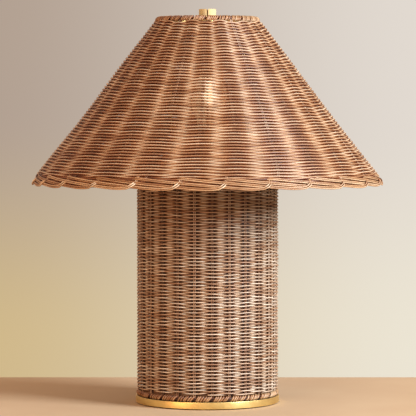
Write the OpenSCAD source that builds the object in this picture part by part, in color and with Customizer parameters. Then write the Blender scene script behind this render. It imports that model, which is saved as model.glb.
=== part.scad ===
// Table lamp with a woven cane column and a wide conical woven shade.
// Millimetres, +Z up, origin at the middle of the foot, front towards -Y.

/* [Foot] */
// How far the brass band stands proud of the column
base_lip = 1; // [0.5:0.5:10]
// Height of the brass band
base_ring_h = 10.5; // [8:0.5:16]
// Wall of the brass band
base_ring_wall = 2.5; // [1.5:0.5:4]
// Thickness of the flange turned in under the weight
base_flange_t = 2; // [1.5:0.5:3]
// Radial reach of that flange, from the outside of the band
base_flange_w = 16; // [12:1:24]
// Thickness of the felt pad
felt_t = 1.5; // [1:0.5:3]
// Height of the raised middle of the cast weight above its rim
boss_h = 9; // [4:1:16]
// Radius of that raised middle
boss_r = 62; // [40:1:80]
// Number of screws that hold the ring to the weight
base_screw_count = 4; // [3:1:8]
// Shank diameter of those screws
base_screw_d = 4; // [3:0.5:5]

/* [Column] */
// Outer radius of the woven column
column_r = 110.5; // [90:0.5:139]
// Height of the column, from the brass band to its top edge
column_h = 338; // [200:1:500]
// Thickness of the woven wall
weave_wall = 7.4; // [6:0.2:10]
// Height of the whipped border at the foot
foot_border_h = 9; // [6:0.5:16]
// Height of the border at the top of the column
column_border_h = 8; // [6:0.5:16]
// Number of stake pairs, in the column and in the shade
stake_count = 25; // [15:2:35]
// Diameter of one stake rod
stake_d = 1.9; // [1.4:0.1:2.4]
// Angle of the column's first stake pair from the front
column_stake_turn = 3.9; // [-7:0.1:7]
// Height of the flat hoops of the column frame
hoop_h = 12; // [8:1:20]
// Thickness of those hoops
hoop_t = 3; // [2:0.5:5]
// Number of posts between the hoops
post_count = 4; // [3:1:8]
// Diameter of a post
post_d = 6; // [4:0.5:10]
// Thickness of the steel plate on the upper hoop
top_plate_t = 3; // [2:0.5:5]

/* [Cord inlet] */
// Height of the inlet's axis above the brass band
inlet_rise = 24; // [20:1:60]
// Bore of the grommet
inlet_bore_d = 7.2; // [5:0.2:9]
// Wall of the grommet's tube
inlet_wall = 2.2; // [1.5:0.1:3]
// Reach of the grommet's flanges past its tube
inlet_flange_w = 2.5; // [1.5:0.5:4]
// Thickness of the grommet's flanges
inlet_flange_t = 1.5; // [1:0.5:3]

/* [Stem] */
// Outer diameter of the lamp pipe
pipe_d = 10; // [9:0.5:13]
// Bore of the lamp pipe
pipe_bore_d = 6.8; // [5:0.2:8]
// Width across flats of the pipe's nuts
nut_af = 16; // [15:0.5:20]
// Height of those nuts
nut_h = 3.6; // [3:0.2:6]
// Diameter of the pipe's washers
washer_d = 24; // [20:1:30]
// Thickness of those washers
washer_t = 1.2; // [0.8:0.2:2]

/* [Harp] */
// Distance from the axis to a leg of the harp where it stands in the saddle
harp_foot_x = 28; // [24:1:34]
// Distance from the axis to a leg at the harp's widest
harp_half_w = 57; // [50:1:62]
// Height of the harp, from the top of its pins to the top of the wire
harp_h = 219.5; // [190:0.5:260]
// Diameter of the harp wire
harp_wire_d = 3.2; // [2.6:0.2:4]
// Radius of the harp's upper bends
harp_top_bend_r = 50; // [36:1:50]
// Radius of the bends where the harp widens above its sleeves
harp_low_bend_r = 24; // [18:1:30]
// Length of a sleeve
sleeve_len = 14; // [10:1:20]
// How far a sleeve slides up
sleeve_travel = 12; // [8:1:14]
// Wall of a sleeve
sleeve_wall = 1.4; // [1:0.1:2]
// Thickness of the saddle's strip
saddle_t = 2; // [1.5:0.5:3]
// Width of the saddle's strip
saddle_w = 12; // [8:1:16]

/* [Socket] */
// Outer diameter of the socket shell
socket_d = 34; // [32:0.5:42]
// Height of the socket shell
socket_h = 58; // [54:1:70]
// Thickness of the shell's metal
shell_t = 0.8; // [0.6:0.1:1.2]
// Thickness of the paper liner
liner_t = 0.8; // [0.5:0.1:1]
// Height of the cap below the shell
cap_h = 14; // [12:1:20]
// Height of the switch's axis above the foot of the shell
switch_rise = 13; // [11:1:16]
// Diameter of the switch stem
switch_stem_d = 4; // [3:0.5:5]
// Diameter of the switch knob
switch_knob_d = 13; // [10:1:18]
// Length of the switch knob
switch_knob_len = 11; // [8:1:16]

/* [Bulb] */
// Diameter of the bulb's globe
bulb_d = 60; // [45:1:70]
// Length of the bulb, tip to top
bulb_len = 110; // [95:1:125]
// Diameter of the screw base
bulb_base_d = 26; // [25.5:0.1:26.5]
// Length of the screw base
bulb_base_len = 24; // [22:1:27]

/* [Shade] */
// Drop of the spider's arms below the shade's top edge
spider_drop = 6; // [5:0.5:8]
// Outer radius of the shade at the lower end of its woven wall
shade_foot_r = 268; // [200:0.5:330]
// Outer radius of the shade at the upper end of its woven wall
shade_head_r = 85.5; // [80:0.5:120]
// Height of the woven wall between the two borders
shade_wall_h = 235.5; // [160:0.5:300]
// Thickness of the looped border round the lower edge
rim_t = 10; // [8:0.5:14]
// Length of that border's section beyond its round edges
rim_len = 10; // [8:1:20]
// Thickness of the rolled border round the top
crown_t = 11; // [9:0.5:14]
// Angle of the shade's first stake pair from the front
shade_stake_turn = -2.9; // [-7:0.1:7]
// Diameter of the shade frame's two wire rings
frame_wire_d = 4; // [3:0.5:5]
// Diameter of a rib of the frame
rib_d = 3; // [2:0.5:4]
// Number of ribs
rib_count = 5; // [3:1:8]
// Number of spider arms
arm_count = 3; // [3:1:4]
// Diameter of a spider arm
arm_d = 3.6; // [3:0.2:5]
// Diameter of the spider's hub
hub_d = 30; // [26:1:36]
// Thickness of the hub
hub_t = 3; // [2:0.5:4]

/* [Finial] */
// Diameter of the brass finial
finial_d = 26.5; // [20:0.5:36]
// Height of the finial
finial_h = 15; // [13:0.5:24]
// Width of the groove cut down the finial's sides and across its top
finial_slot_w = 2; // [1:0.5:4]
// Depth of that groove
finial_slot_depth = 1.2; // [0.5:0.1:2]
// Diameter of the harp's stud
stud_d = 6.3; // [5:0.1:8]
// Length of that stud above its flange
stud_len = 14; // [13:0.5:20]

/* [Hidden] */
// Clearances
fit = 0.05;      // running fit, on the radius
gap = 0.2;       // pieces of one body that stand side by side
air = 0.3;       // pieces of different bodies
fine = 96;       // facets of the large rounds
small = 48;      // facets of the small rounds

// Foot
base_r = column_r + base_lip;
base_z = felt_t;
ring_in_r = base_r - base_ring_wall;
flange_in_r = base_r - base_flange_w;
felt_r = base_r - 5;
weight_r = ring_in_r - gap;
weight_z = base_z + base_flange_t;
band_top_z = base_z + base_ring_h;
boss_top_z = band_top_z + boss_h;
nut_pocket_r = washer_d / 2 + 2;
nut_pocket_h = nut_h + washer_t + 2;
pocket_top_z = weight_z + nut_pocket_h;
screw_pcr = (flange_in_r + ring_in_r) / 2;
screw_head_r = base_screw_d;
screw_len = base_flange_t + 5.5;

// Column
column_z = band_top_z;
column_top_z = column_z + column_h;
column_in_r = column_r - weave_wall;
column_mid_r = column_r - weave_wall / 2;
weave_z = column_z + foot_border_h;
weave_top_z = column_top_z - column_border_h;
border_bulge = 0.3;
stake_inset = 2;
hoop_out_r = column_in_r - gap;
hoop_in_r = hoop_out_r - hoop_t;
top_plate_z = column_top_z - 1 - top_plate_t;
upper_hoop_z = top_plate_z - hoop_h;
post_r = hoop_in_r - post_d / 2;
post_turn = 45;

// Cord inlet, midway between two stake pairs at the back
stake_step = 360 / stake_count;
inlet_turn = column_stake_turn + stake_step * (floor(180 / stake_step) + 0.5);
inlet_z = column_z + inlet_rise;
inlet_r = inlet_bore_d / 2 + inlet_wall;
inlet_hole_r = inlet_r + fit;

// Stem, from the foot up
pipe_r = pipe_d / 2;
pipe_hole_r = pipe_r + fit;
lower_washer_z = pocket_top_z - washer_t;
lower_nut_z = lower_washer_z - nut_h;
plate_top_z = top_plate_z + top_plate_t;
upper_nut_z = plate_top_z + washer_t;
saddle_z = upper_nut_z + nut_h;
cap_z = saddle_z + saddle_t;
shell_z = cap_z + cap_h;
collar_h = 6;
collar_r = pipe_r + 3.2;
cap_floor_z = cap_z + collar_h;
pipe_z = lower_nut_z - 0.6;
pipe_top_z = cap_floor_z + 1.2;
set_screw_r = 1.4;

// Socket
shell_r = socket_d / 2;
shell_in_r = shell_r - shell_t;
cap_in_r = shell_in_r - shell_t;
shell_top_z = shell_z + socket_h;
liner_r = shell_in_r - gap;
body_r = liner_r - liner_t - gap;
body_z = shell_z + 1;
body_h = 25;
body_top_z = body_z + body_h;
switch_z = shell_z + switch_rise;
switch_r = switch_stem_d / 2;
switch_hole_r = switch_r + fit;
switch_depth = 5;
knob_y = -(shell_r + 12);
knob_bore = 5;
stem_y = -body_r + switch_depth - gap;
stem_len = stem_y - knob_y + knob_bore - gap;
screw_shell_r = bulb_base_d / 2 + air;
screw_shell_t = 0.5;
contact_r = 4;
contact_h = 1.2;

// Bulb
bulb_r = bulb_d / 2;
bulb_tip_z = body_top_z + contact_h + 0.2;
tip_r = 4.8;
tip_h = 1.6;
insulator_h = 3;
insulator_z = bulb_tip_z + tip_h;
bulb_base_z = insulator_z + insulator_h;
bulb_base_r = bulb_base_d / 2;
bulb_base_top_z = bulb_base_z + bulb_base_len - insulator_h;
bulb_top_z = bulb_tip_z + bulb_len;
globe_z = bulb_top_z - bulb_r;
bulb_neck_r = bulb_base_r - 0.8;
bulb_wall = 1;

// Harp and its saddle
wire_r = harp_wire_d / 2;
swell = 0.02;
swell_len = 0.8;
ear_top_z = saddle_z + 9;
pin_top_z = ear_top_z + 6;
sleeve_z = ear_top_z;
sleeve_in_r = wire_r + 0.1;
sleeve_r = sleeve_in_r + sleeve_wall;
leg_top_z = sleeve_z + sleeve_len + sleeve_travel + 4;
harp_top_z = pin_top_z + harp_h;
harp_wire_z = harp_top_z - wire_r - swell;
bend_drop = harp_half_w - harp_foot_x;
bend_turn = acos(1 - bend_drop / (2 * harp_low_bend_r));
bend_h = 2 * harp_low_bend_r * sin(bend_turn);
side_z = leg_top_z + bend_h;
top_bend_z = harp_wire_z - harp_top_bend_r;
top_bend_x = harp_half_w - harp_top_bend_r;

// Harp stud and the fitter that stands on it
stud_r = stud_d / 2;
flange_r = 9;
flange_h = 2.4;
flange_top_z = harp_top_z + flange_h;
shade_washer_t = 0.8;
shade_washer_r = 11;
hub_z = flange_top_z + shade_washer_t;
hub_r = hub_d / 2;
hub_top_z = hub_z + hub_t;
arm_z = hub_z + hub_t / 2;
stud_hole_r = stud_r + 0.35;

// Shade wall, hung from the arms: a cone whose outside line runs from foot to head.
// Its ends lie at the centres of the two borders' sections, which it is cut back from.
crown_r = crown_t / 2;
crown_len = 8.6;
crown_rise = 36;
crown_top_z = arm_z + spider_drop;
shade_head_z = crown_top_z - crown_r - crown_len * sin(crown_rise);
shade_weave_z = shade_head_z - shade_wall_h;
shade_slope = (shade_foot_r - shade_head_r) / shade_wall_h;
shade_lean = atan(shade_slope);
wall_across = weave_wall / cos(shade_lean);
function outside_at(z) = shade_foot_r - (z - shade_weave_z) * shade_slope;
function middle_at(z) = outside_at(z) - wall_across / 2;
function inside_at(z) = outside_at(z) - wall_across;

// Borders of the shade: stadium sections, each with a low and a high centre
rim_r = rim_t / 2;
rim_rise = 71;
rim_high = [middle_at(shade_weave_z), shade_weave_z];
rim_low = rim_high + rim_len * [cos(rim_rise), -sin(rim_rise)];
crown_low = [middle_at(shade_head_z), shade_head_z];
crown_high = crown_low + crown_len * [-cos(crown_rise), sin(crown_rise)];

// Wire frame of the shade
frame_r = frame_wire_d / 2;
top_ring_r = crown_high[0] - crown_r - frame_r - gap;
top_ring_z = arm_z;
bottom_ring_drop = 2;
bottom_ring_z = rim_high[1] - bottom_ring_drop;
bottom_ring_r = rim_high[0] + bottom_ring_drop / tan(rim_rise) - (rim_r + frame_r + gap) / sin(rim_rise);
rib_weld = 1.2;
rib_turn = 216;
arm_turn = 180;

// Finial
finial_z = hub_top_z + air;
finial_r = finial_d / 2;
insert_r = 5.4;
insert_h = finial_h - 3;

// A ring of rectangular section
module band(out_r, in_r, z, h, sides = fine) {
    translate([0, 0, z])
        difference() {
            cylinder(r = out_r, h = h, $fn = sides);
            translate([0, 0, -1]) cylinder(r = in_r, h = h + 2, $fn = sides);
        }
}

// A ring of round wire
module wire_ring(mid_r, wire, z) {
    translate([0, 0, z])
        rotate_extrude($fn = fine)
            translate([mid_r, 0]) circle(r = wire, $fn = 24);
}

// A round rod between two points
module rod(from, to, r, sides = 24) {
    d = to - from;
    len = norm(d);
    translate(from)
        rotate([0, acos(d[2] / len), atan2(d[1], d[0])])
            cylinder(r = r, h = len, $fn = sides);
}

// Repeats what follows round the axis, the first one turned from the front
module around(count, turn) {
    for (i = [0 : count - 1])
        rotate([0, 0, -90 + turn + i * 360 / count]) children();
}

// A hexagon nut on the pipe
module pipe_nut(z) {
    translate([0, 0, z])
        difference() {
            cylinder(d = nut_af / cos(30), h = nut_h, $fn = 6);
            translate([0, 0, -1]) cylinder(r = pipe_hole_r, h = nut_h + 2, $fn = small);
        }
}

module felt_pad() {
    color("darkolivegreen") cylinder(r = felt_r, h = felt_t, $fn = fine);
}

module base_ring() {
    color("gold")
        difference() {
            translate([0, 0, base_z])
                rotate_extrude($fn = fine)
                    polygon([
                        [flange_in_r, 0], [base_r, 0], [base_r, base_ring_h],
                        [ring_in_r, base_ring_h], [ring_in_r, base_flange_t],
                        [flange_in_r, base_flange_t]
                    ]);
            around(base_screw_count, 45) translate([screw_pcr, 0, 0]) base_screw(fit);
        }
}

module base_weight() {
    color("dimgray")
        difference() {
            union() {
                translate([0, 0, weight_z]) cylinder(r = weight_r, h = band_top_z - weight_z, $fn = fine);
                translate([0, 0, weight_z]) cylinder(r = boss_r, h = boss_top_z - weight_z, $fn = fine);
            }
            translate([0, 0, weight_z - 1]) cylinder(r = nut_pocket_r, h = nut_pocket_h + 1, $fn = small);
            translate([0, 0, weight_z]) cylinder(r = pipe_hole_r, h = boss_top_z, $fn = small);
            around(base_screw_count, 45) translate([screw_pcr, 0, 0]) base_screw(fit);
        }
}

// One countersunk screw, grown all over by extra to cut its own hole
module base_screw(extra = 0) {
    shank_r = base_screw_d / 2 + extra;
    translate([0, 0, base_z - (extra > 0 ? 0.01 : 0)])
        cylinder(r1 = screw_head_r + extra, r2 = shank_r, h = base_flange_t, $fn = small);
    translate([0, 0, base_z]) cylinder(r = shank_r, h = screw_len + extra, $fn = small);
}

module base_ring_screws() {
    color("silver") around(base_screw_count, 45) translate([screw_pcr, 0, 0]) base_screw();
}

module lower_nut() {
    color("goldenrod") pipe_nut(lower_nut_z);
}

module lower_washer() {
    color("silver") band(washer_d / 2, pipe_hole_r, lower_washer_z, washer_t, small);
}

module column_lower_hoop() {
    color("gray") band(hoop_out_r, hoop_in_r, column_z, hoop_h);
}

module column_upper_hoop() {
    color("gray") band(hoop_out_r, hoop_in_r, upper_hoop_z, hoop_h);
}

module column_posts() {
    color("gray")
        around(post_count, post_turn)
            translate([post_r, 0, column_z]) cylinder(d = post_d, h = top_plate_z - column_z, $fn = small);
}

// Two rods side by side, stake_d apart centre to centre
module stake_pair(from, to) {
    for (side = [-1, 1])
        translate([0, side * (stake_d / 2 + fit), 0]) rod(from, to, stake_d / 2);
}

module column_stakes() {
    color("peru")
        around(stake_count, column_stake_turn)
            stake_pair([column_mid_r, 0, column_z + stake_inset], [column_mid_r, 0, column_top_z - stake_inset]);
}

// The round hole that the grommet fills, with its flange seats
module inlet_hole() {
    rotate([0, 0, -90 + inlet_turn])
        translate([column_in_r - 8, 0, inlet_z])
            rotate([0, 90, 0]) cylinder(r = inlet_hole_r, h = weave_wall + 16, $fn = small);
}

module column_weave() {
    color("sienna")
        difference() {
            band(column_r, column_in_r, weave_z, weave_top_z - weave_z);
            inlet_hole();
        }
}

module column_foot_border() {
    color("saddlebrown") band(column_r + border_bulge, column_in_r, column_z, foot_border_h);
}

module column_top_border() {
    color("saddlebrown") band(column_r + border_bulge, column_in_r, weave_top_z, column_border_h);
}

// Flanged bush through the wall; its flanges stand clear of the round wall's highest point
module cord_grommet() {
    inner_seat = column_in_r - 0.6;
    outer_seat = column_r + 0.1;
    flange = inlet_r + inlet_flange_w;
    color("black")
        rotate([0, 0, -90 + inlet_turn])
            translate([0, 0, inlet_z])
                rotate([0, 90, 0])
                    difference() {
                        union() {
                            translate([0, 0, inner_seat - inlet_flange_t])
                                cylinder(r = flange, h = inlet_flange_t, $fn = small);
                            translate([0, 0, inner_seat - inlet_flange_t])
                                cylinder(r = inlet_r, h = outer_seat - inner_seat + 2 * inlet_flange_t, $fn = small);
                            translate([0, 0, outer_seat])
                                cylinder(r = flange, h = inlet_flange_t, $fn = small);
                        }
                        translate([0, 0, column_in_r - 20])
                            cylinder(d = inlet_bore_d, h = weave_wall + 40, $fn = small);
                    }
}

module top_plate() {
    color("gray") band(hoop_out_r, pipe_hole_r, top_plate_z, top_plate_t);
}

module lamp_pipe() {
    color("silver") band(pipe_r, pipe_bore_d / 2, pipe_z, pipe_top_z - pipe_z, small);
}

module upper_washer() {
    color("silver") band(washer_d / 2, pipe_hole_r, plate_top_z, washer_t, small);
}

module upper_nut() {
    color("goldenrod") pipe_nut(upper_nut_z);
}

// Strip with upturned ears; a round pin on each ear carries a leg of the harp
module harp_saddle() {
    half = harp_foot_x + saddle_t / 2;
    color("gold") {
        difference() {
            translate([-half, -saddle_w / 2, saddle_z]) cube([2 * half, saddle_w, saddle_t]);
            translate([0, 0, saddle_z - 1]) cylinder(r = pipe_hole_r, h = saddle_t + 2, $fn = small);
        }
        for (side = [-1, 1])
            translate([side * harp_foot_x, 0, saddle_z]) {
                translate([-saddle_t / 2, -saddle_w / 2, 0]) cube([saddle_t, saddle_w, ear_top_z - saddle_z]);
                translate([0, 0, ear_top_z - saddle_z - 3])
                    cylinder(r = wire_r, h = pin_top_z - ear_top_z + 3, $fn = small);
            }
    }
}

// A bend of round wire in the XZ plane: centre, radius, first angle and sweep
module wire_bend(centre, r, start, sweep) {
    translate([centre[0], 0, centre[1]])
        rotate([90, 0, 0])
            rotate([0, 0, start])
                rotate_extrude(angle = sweep, $fn = fine)
                    translate([r, 0]) circle(r = wire_r, $fn = 24);
}

module upright(x, from_z, to_z) {
    translate([x, 0, from_z]) cylinder(r = wire_r, h = to_z - from_z, $fn = 24);
}

// A short swell where two lengths of wire meet, in the XZ plane
module wire_joint(x, z, lean = 0) {
    translate([x, 0, z])
        rotate([0, lean, 0])
            translate([0, 0, -swell_len / 2]) cylinder(r = wire_r + swell, h = swell_len, $fn = 24);
}

// Half of the harp: leg, two opposite bends that widen it, side, upper bend
module harp_half() {
    swing = harp_low_bend_r * sin(bend_turn);
    mid_x = (harp_foot_x + harp_half_w) / 2;
    wire_joint(harp_foot_x, leg_top_z);
    wire_joint(mid_x, leg_top_z + swing, bend_turn);
    wire_joint(harp_half_w, side_z);
    wire_joint(harp_half_w, top_bend_z);
    wire_joint(top_bend_x, harp_wire_z, 90);
    upright(harp_foot_x, pin_top_z, leg_top_z);
    wire_bend([harp_foot_x + harp_low_bend_r, leg_top_z], harp_low_bend_r, 180 - bend_turn, bend_turn);
    wire_bend([harp_half_w - harp_low_bend_r, leg_top_z + 2 * swing], harp_low_bend_r, -bend_turn, bend_turn);
    upright(harp_half_w, side_z, top_bend_z);
    wire_bend([top_bend_x, top_bend_z], harp_top_bend_r, 0, 90);
}

module harp_wire() {
    color("gold") {
        harp_half();
        mirror([1, 0, 0]) harp_half();
        translate([-top_bend_x, 0, harp_wire_z])
            rotate([0, 90, 0]) cylinder(r = wire_r, h = 2 * top_bend_x, $fn = 24);
    }
}

module harp_stud() {
    color("gold") {
        translate([0, 0, harp_top_z]) cylinder(r = flange_r, h = flange_h, $fn = small);
        translate([0, 0, flange_top_z]) cylinder(r = stud_r, h = stud_len, $fn = small);
    }
}

module harp_sleeve(side) {
    color("gold")
        translate([side * harp_foot_x, 0, 0])
            band(sleeve_r, sleeve_in_r, sleeve_z, sleeve_len, small);
}

module harp_sleeve_left() {
    harp_sleeve(-1);
}

module harp_sleeve_right() {
    harp_sleeve(1);
}

// Cup with a collar that screws on the pipe; its rim stands inside the shell
module socket_cap() {
    color("gold")
        difference() {
            union() {
                translate([0, 0, cap_z]) cylinder(r = collar_r, h = collar_h, $fn = small);
                translate([0, 0, cap_floor_z - shell_t])
                    rotate_extrude($fn = fine)
                        polygon([
                            [pipe_r, 0], [collar_r, 0], [cap_in_r - 1, shell_z - cap_floor_z - 1],
                            [shell_r, shell_z - cap_floor_z + shell_t - 1],
                            [shell_r, shell_z - cap_floor_z + shell_t],
                            [cap_in_r - 3, shell_z - cap_floor_z + shell_t],
                            [collar_r - 1, 1.2], [pipe_r, 1.2]
                        ]);
            }
            translate([0, 0, cap_z - 1]) cylinder(r = pipe_hole_r, h = cap_h, $fn = small);
            set_screw(0.02);
        }
}

module set_screw(extra = 0) {
    translate([0, pipe_hole_r - extra, cap_z + collar_h / 2])
        rotate([-90, 0, 0]) cylinder(r = set_screw_r + extra, h = collar_r - pipe_r + 0.6, $fn = 24);
}

module socket_set_screw() {
    color("dimgray") set_screw();
}

module socket_shell() {
    color("gold")
        difference() {
            band(shell_r, shell_in_r, shell_z, socket_h);
            stem_way(1);
        }
}

// The hole that the switch stem passes through
module stem_way(room) {
    translate([0, 0, switch_z]) rotate([90, 0, 0]) cylinder(r = switch_r + room, h = shell_r + 5, $fn = small);
}

module socket_liner() {
    color("burlywood")
        difference() {
            band(liner_r, liner_r - liner_t, shell_z + 1, socket_h - 3);
            stem_way(1);
        }
}

module socket_body() {
    terminal_z = body_z + 5;
    color("black")
        difference() {
            translate([0, 0, body_z]) cylinder(r = body_r, h = body_h, $fn = fine);
            translate([0, -body_r + switch_depth, switch_z])
                rotate([90, 0, 0]) cylinder(r = switch_hole_r, h = switch_depth + 5, $fn = small);
            for (side = [-1, 1])
                translate([side * (body_r - 3), 0, terminal_z])
                    rotate([0, side * 90, 0]) cylinder(r = 2.5, h = 5, $fn = 24);
        }
}

module terminal_screws() {
    color("silver")
        for (side = [-1, 1])
            translate([side * (body_r - 3), 0, body_z + 5])
                rotate([0, side * 90, 0]) cylinder(r = 2.3, h = 2.2, $fn = 24);
}

module socket_screw_shell() {
    color("goldenrod")
        band(screw_shell_r + screw_shell_t, screw_shell_r, body_top_z, shell_top_z - body_top_z - 4);
}

module center_contact() {
    color("goldenrod") translate([0, 0, body_top_z]) cylinder(r = contact_r, h = contact_h, $fn = 24);
}

module switch_stem() {
    color("silver")
        translate([0, stem_y, switch_z])
            rotate([90, 0, 0]) cylinder(r = switch_r, h = stem_len, $fn = small);
}

module switch_knob() {
    color("black")
        translate([0, knob_y, switch_z])
            rotate([90, 0, 0])
                difference() {
                    cylinder(d = switch_knob_d, h = switch_knob_len, $fn = 20);
                    translate([0, 0, -1]) cylinder(r = switch_r, h = knob_bore + 1, $fn = small);
                }
}

module bulb_tip_contact() {
    color("silver") translate([0, 0, bulb_tip_z]) cylinder(r = tip_r, h = tip_h, $fn = 24);
}

module bulb_insulator() {
    color("black")
        translate([0, 0, insulator_z])
            cylinder(r1 = tip_r + 1, r2 = bulb_base_r - 0.3, h = insulator_h, $fn = small);
}

module bulb_base() {
    color("silver")
        band(bulb_base_r, bulb_base_r - 0.6, bulb_base_z, bulb_base_top_z - bulb_base_z);
}

// Globe and neck as one closed wall
module bulb_glass() {
    neck_top_z = globe_z - bulb_r * 0.62;
    neck_top_r = bulb_r * 0.785;
    color("white")
        difference() {
            union() {
                translate([0, 0, globe_z]) sphere(r = bulb_r, $fn = small);
                translate([0, 0, bulb_base_top_z])
                    cylinder(r1 = bulb_neck_r, r2 = neck_top_r, h = neck_top_z - bulb_base_top_z, $fn = small);
            }
            translate([0, 0, globe_z]) sphere(r = bulb_r - bulb_wall, $fn = small);
            translate([0, 0, bulb_base_top_z - 1])
                cylinder(
                    r1 = bulb_neck_r - bulb_wall - 0.5,
                    r2 = neck_top_r - bulb_wall,
                    h = neck_top_z - bulb_base_top_z + 1,
                    $fn = small
                );
        }
}

module shade_washer() {
    color("black") band(shade_washer_r, stud_hole_r, flange_top_z, shade_washer_t, small);
}

module shade_hub() {
    color("gold") band(hub_r, stud_hole_r, hub_z, hub_t, small);
}

module spider_arms() {
    color("gold")
        around(arm_count, arm_turn)
            translate([hub_r - 1.5, 0, arm_z])
                rotate([0, 90, 0]) cylinder(d = arm_d, h = top_ring_r - hub_r + 1.5, $fn = 24);
}

module shade_top_ring() {
    color("gold") wire_ring(top_ring_r, frame_r, top_ring_z);
}

module shade_bottom_ring() {
    color("gold") wire_ring(bottom_ring_r, frame_r, bottom_ring_z);
}

module shade_ribs() {
    color("gold")
        around(rib_count, rib_turn)
            rod(
                [bottom_ring_r - rib_weld, 0, bottom_ring_z],
                [top_ring_r - rib_weld, 0, top_ring_z - rib_weld],
                rib_d / 2
            );
}

module shade_stakes() {
    low_z = shade_weave_z - stake_inset;
    high_z = shade_head_z + stake_inset;
    color("peru")
        around(stake_count, shade_stake_turn)
            stake_pair([middle_at(low_z), 0, low_z], [middle_at(high_z), 0, high_z]);
}

module shade_weave() {
    color("sienna")
        difference() {
            rotate_extrude($fn = fine)
                polygon([
                    [inside_at(shade_weave_z), shade_weave_z], [outside_at(shade_weave_z), shade_weave_z],
                    [outside_at(shade_head_z), shade_head_z], [inside_at(shade_head_z), shade_head_z]
                ]);
            rolled_border(rim_low, rim_high, rim_r + gap);
            rolled_border(crown_low, crown_high, crown_r + gap);
        }
}

// A ring whose section is a slanting bar with round ends, each end a half circle of chords
module rolled_border(low, high, half) {
    d = high - low;
    heading = atan2(d[1], d[0]);
    chords = 10;
    low_end = [for (i = [0 : chords]) let (a = heading + 90 + i * 180 / chords)
        low + half * [cos(a), sin(a)]];
    high_end = [for (i = [0 : chords]) let (a = heading - 90 + i * 180 / chords)
        high + half * [cos(a), sin(a)]];
    rotate_extrude($fn = fine) polygon(concat(low_end, high_end));
}

module shade_rim_border() {
    color("saddlebrown") rolled_border(rim_low, rim_high, rim_r);
}

module shade_top_border() {
    color("saddlebrown") rolled_border(crown_low, crown_high, crown_r);
}

module finial_insert() {
    color("silver") band(insert_r, stud_r + fit, finial_z, insert_h, small);
}

module finial_knob() {
    slot_floor_r = finial_r - finial_slot_depth;
    color("gold")
        translate([0, 0, finial_z])
            difference() {
                cylinder(r = finial_r, h = finial_h, $fn = fine);
                translate([0, 0, -1]) cylinder(r = insert_r + fit, h = insert_h + 1 + gap, $fn = small);
                for (turn = [0, 180])
                    rotate([0, 0, turn])
                        translate([-finial_slot_w / 2, slot_floor_r, -1])
                            cube([finial_slot_w, finial_slot_depth + 1, finial_h + 2]);
                translate([-finial_slot_w / 2, -finial_r - 1, finial_h - finial_slot_depth])
                    cube([finial_slot_w, 2 * finial_r + 2, finial_slot_depth + 1]);
            }
}

felt_pad();
base_ring();
base_weight();
base_ring_screws();
lower_nut();
lower_washer();
column_lower_hoop();
column_upper_hoop();
column_posts();
column_stakes();
column_weave();
column_foot_border();
column_top_border();
cord_grommet();
top_plate();
lamp_pipe();
upper_washer();
upper_nut();
harp_saddle();
harp_wire();
harp_stud();
harp_sleeve_left();
harp_sleeve_right();
socket_cap();
socket_set_screw();
socket_shell();
socket_liner();
socket_body();
terminal_screws();
socket_screw_shell();
center_contact();
switch_stem();
switch_knob();
bulb_tip_contact();
bulb_insulator();
bulb_base();
bulb_glass();
shade_washer();
shade_hub();
spider_arms();
shade_top_ring();
shade_bottom_ring();
shade_ribs();
shade_stakes();
shade_weave();
shade_rim_border();
shade_top_border();
finial_insert();
finial_knob();
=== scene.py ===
"""Table lamp: woven cane column on a brass ring, and a wide woven cane shade held by a brass finial.

Lengths are in millimetres until a mesh is made. Angles are counted from the front of the lamp to the
right, and heights and radii come from the frame's own parts.
"""
import math

import bpy
import numpy as np
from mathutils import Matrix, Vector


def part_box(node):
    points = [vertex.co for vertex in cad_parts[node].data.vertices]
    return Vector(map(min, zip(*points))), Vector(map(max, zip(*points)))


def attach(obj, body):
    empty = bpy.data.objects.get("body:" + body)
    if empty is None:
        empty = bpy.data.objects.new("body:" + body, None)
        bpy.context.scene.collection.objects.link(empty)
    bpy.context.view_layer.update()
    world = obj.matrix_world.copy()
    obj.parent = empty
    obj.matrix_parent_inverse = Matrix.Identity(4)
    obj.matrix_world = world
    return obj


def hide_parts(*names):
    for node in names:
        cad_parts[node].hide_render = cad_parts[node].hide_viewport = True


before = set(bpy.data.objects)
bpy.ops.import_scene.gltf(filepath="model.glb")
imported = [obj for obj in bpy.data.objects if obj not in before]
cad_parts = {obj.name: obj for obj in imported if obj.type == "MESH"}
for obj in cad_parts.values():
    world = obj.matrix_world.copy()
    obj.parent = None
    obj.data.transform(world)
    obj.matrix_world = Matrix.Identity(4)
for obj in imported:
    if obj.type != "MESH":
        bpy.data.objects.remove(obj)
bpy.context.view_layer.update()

MM = 0.001
TURN = 2 * math.pi

# The weave of both walls. A cane's depth runs from -1, farthest inside, to 1, farthest outside.
# The depth sets how much painted shade a cane's skin gets.
STAKES = 25  # pairs of rods round each wall
STEP = TURN / STAKES  # angle from one stake to the next
STAKE_R = 0.95  # radius of a stake's rod
PAIR_GAP = 1.05  # half the distance between the two rods of a stake
PEAK = 0.96  # how sharply stiff cane turns at a stake, 1 being a corner
FLATNESS = 2.6  # how long packed cane lies flat across a stake
PLAIN_DEPTH = 0.45  # depth of cane that lies on the surface and doesn't dip, which sets its painted shade
ROD_DEPTH = -0.35  # depth given to the stakes' rods, which sets their painted shade
RING_DEPTH = -0.8  # depth given to the rings inside a border, which sets their painted shade
SKIN_SHIFT = 0.37  # metres of skin from one cane's start to the next's, so that no two are alike

# The column
STRAND_R = 1.36  # radius of its cane
SWING = 2.0  # how far the cane swings to either side of the wall's middle
COLUMN_PITCH = 2.565  # climb of one turn
COLUMN_LEAD = math.radians(3.9)  # angle of the first stake
COLUMN_BULGE = 0.25  # slow unevenness outward
COLUMN_STRAY = 0.45  # slow unevenness in height

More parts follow.
